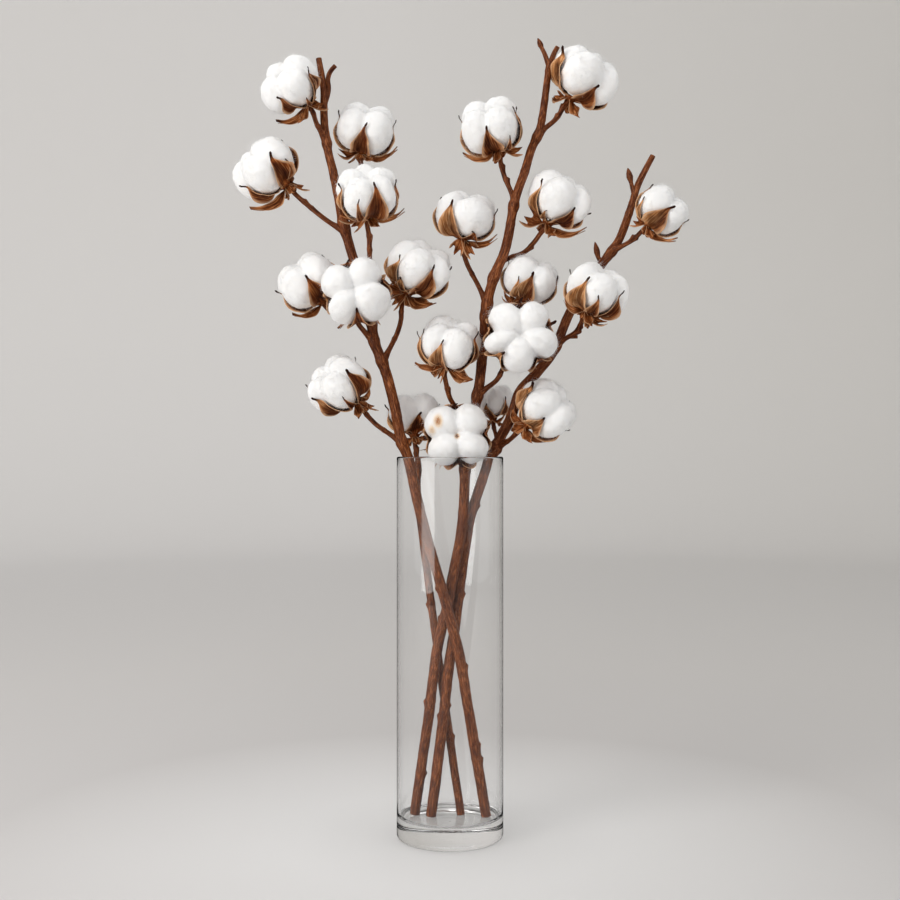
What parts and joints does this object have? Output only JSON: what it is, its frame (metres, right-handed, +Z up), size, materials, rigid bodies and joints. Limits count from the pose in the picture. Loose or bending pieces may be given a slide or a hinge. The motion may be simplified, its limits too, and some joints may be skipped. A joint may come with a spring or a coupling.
{
  "type": "cotton stem bunch in a glass cylinder vase",
  "caption": "Bunch of dried cotton stems with open white bolls, standing in a tall clear glass cylinder vase with a thick base.",
  "frame": {"origin": "middle of the vase's underside, on the surface it stands on", "axes": "+Z up along the vase's axis, +X to the right as seen from the front, -Y towards the viewer"},
  "size_m": [0.4249, 0.1343, 0.7512],
  "materials": {
    "glass": "clear polished",
    "bark": "dry brown bark",
    "husk": "dry ribbed husk with pale rims",
    "lint": "soft white fibre"
  },
  "bodies": {
    "root": {"vase": "glass", "stem_left": "bark", "stem_centre": "bark", "stem_right": "bark", "stem_back": "bark", "bur_01": "husk", "cotton_01": "lint", "bur_02": "husk", "cotton_02": "lint", "bur_03": "husk", "cotton_03": "lint", "bur_04": "husk", "cotton_04": "lint", "bur_05": "husk", "cotton_05": "lint", "bur_06": "husk", "cotton_06": "lint", "bur_07": "husk", "cotton_07": "lint", "bur_08": "husk", "cotton_08": "lint", "bur_09": "husk", "cotton_09": "lint", "bur_10": "husk", "cotton_10": "lint", "bur_11": "husk", "cotton_11": "lint", "bur_12": "husk", "cotton_12": "lint", "bur_13": "husk", "cotton_13": "lint", "bur_14": "husk", "cotton_14": "lint", "bur_15": "husk", "cotton_15": "lint", "bur_16": "husk", "cotton_16": "lint", "bur_17": "husk", "cotton_17": "lint", "bur_18": "husk", "cotton_18": "lint", "bur_19": "husk", "cotton_19": "lint", "bur_20": "husk", "cotton_20": "lint", "bur_21": "husk", "cotton_21": "lint"}
  },
  "joints": []
}
